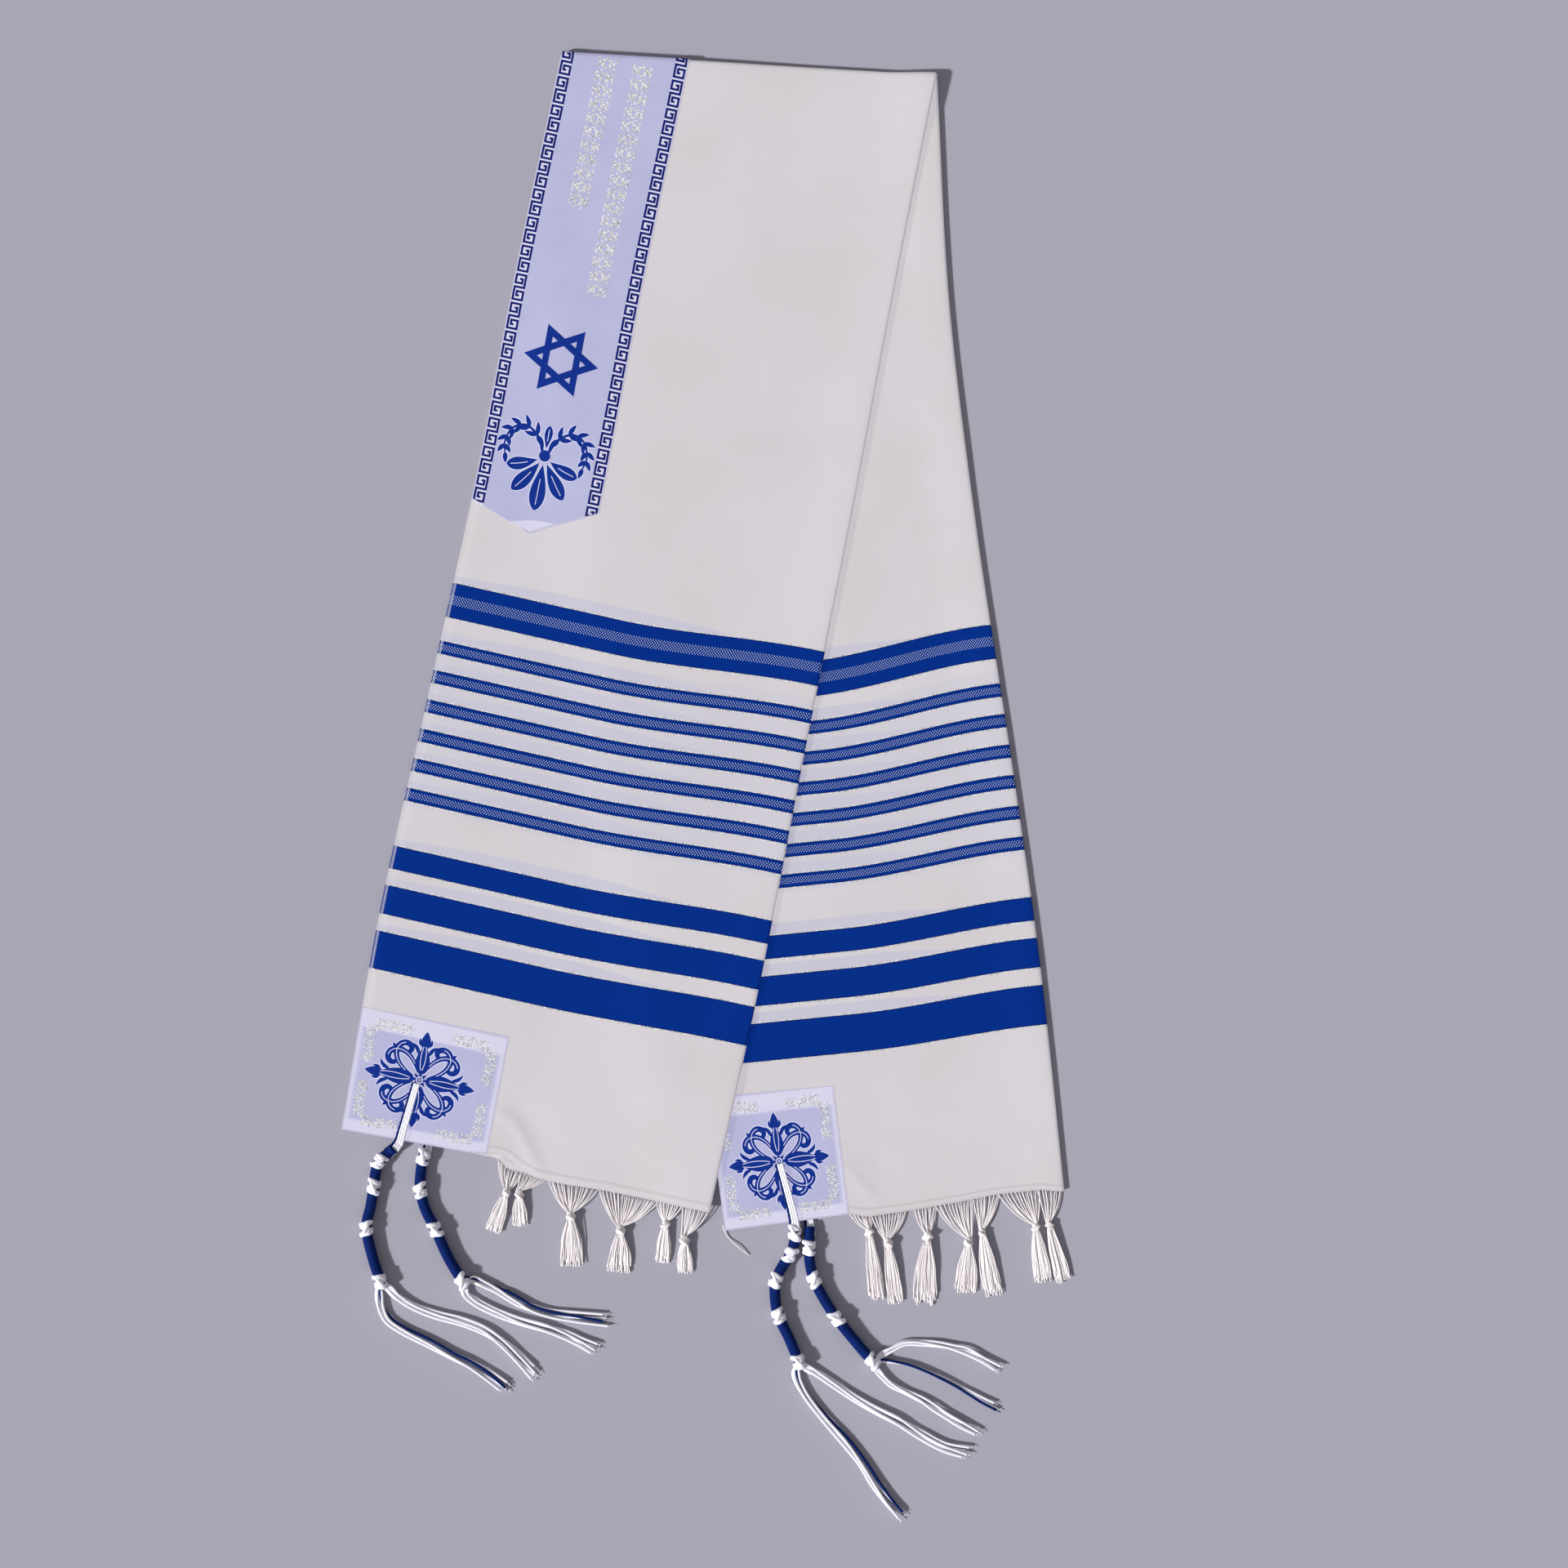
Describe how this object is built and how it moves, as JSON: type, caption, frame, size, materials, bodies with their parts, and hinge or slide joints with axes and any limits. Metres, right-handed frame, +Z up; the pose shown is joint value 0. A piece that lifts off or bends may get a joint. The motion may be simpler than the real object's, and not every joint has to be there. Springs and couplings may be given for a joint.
{
  "type": "folded tallit prayer shawl",
  "caption": "Fringed white prayer shawl with blue stripes, neckband and corner patches, folded lengthwise and once across, lying flat.",
  "frame": {"origin": "middle of the footprint, on the surface that the shawl lies on", "axes": "+Z up, +Y along the folded strip towards the crosswise fold, +X towards the back flap"},
  "size_m": [0.5872, 1.18, 0.0123],
  "materials": {
    "cloth": "white plain weave with woven blue stripes and thin silver lines",
    "neckband": "lavender woven band with a blue key border and embroidery",
    "patch": "lavender woven patch with blue embroidery and silver thread",
    "fringe": "loose white cotton threads gathered in knots",
    "cord": "twisted white cord wound with blue cord"
  },
  "bodies": {
    "root": {"shawl": "cloth", "atarah": "neckband", "patch_front_upper": "patch", "patch_front_under": "patch", "patch_back_upper": "patch", "patch_back_under": "patch", "tassel_front_1": "fringe", "tassel_front_2": "fringe", "tassel_front_3": "fringe", "tassel_front_4": "fringe", "tassel_front_5": "fringe", "tassel_front_6": "fringe", "tassel_back_1": "fringe", "tassel_back_2": "fringe", "tassel_back_3": "fringe", "tassel_back_4": "fringe", "tassel_back_5": "fringe", "tassel_back_6": "fringe", "tassel_back_7": "fringe", "tzitzit_front_upper": "cord", "tzitzit_front_under": "cord", "tzitzit_back_upper": "cord", "tzitzit_back_under": "cord"}
  },
  "joints": []
}
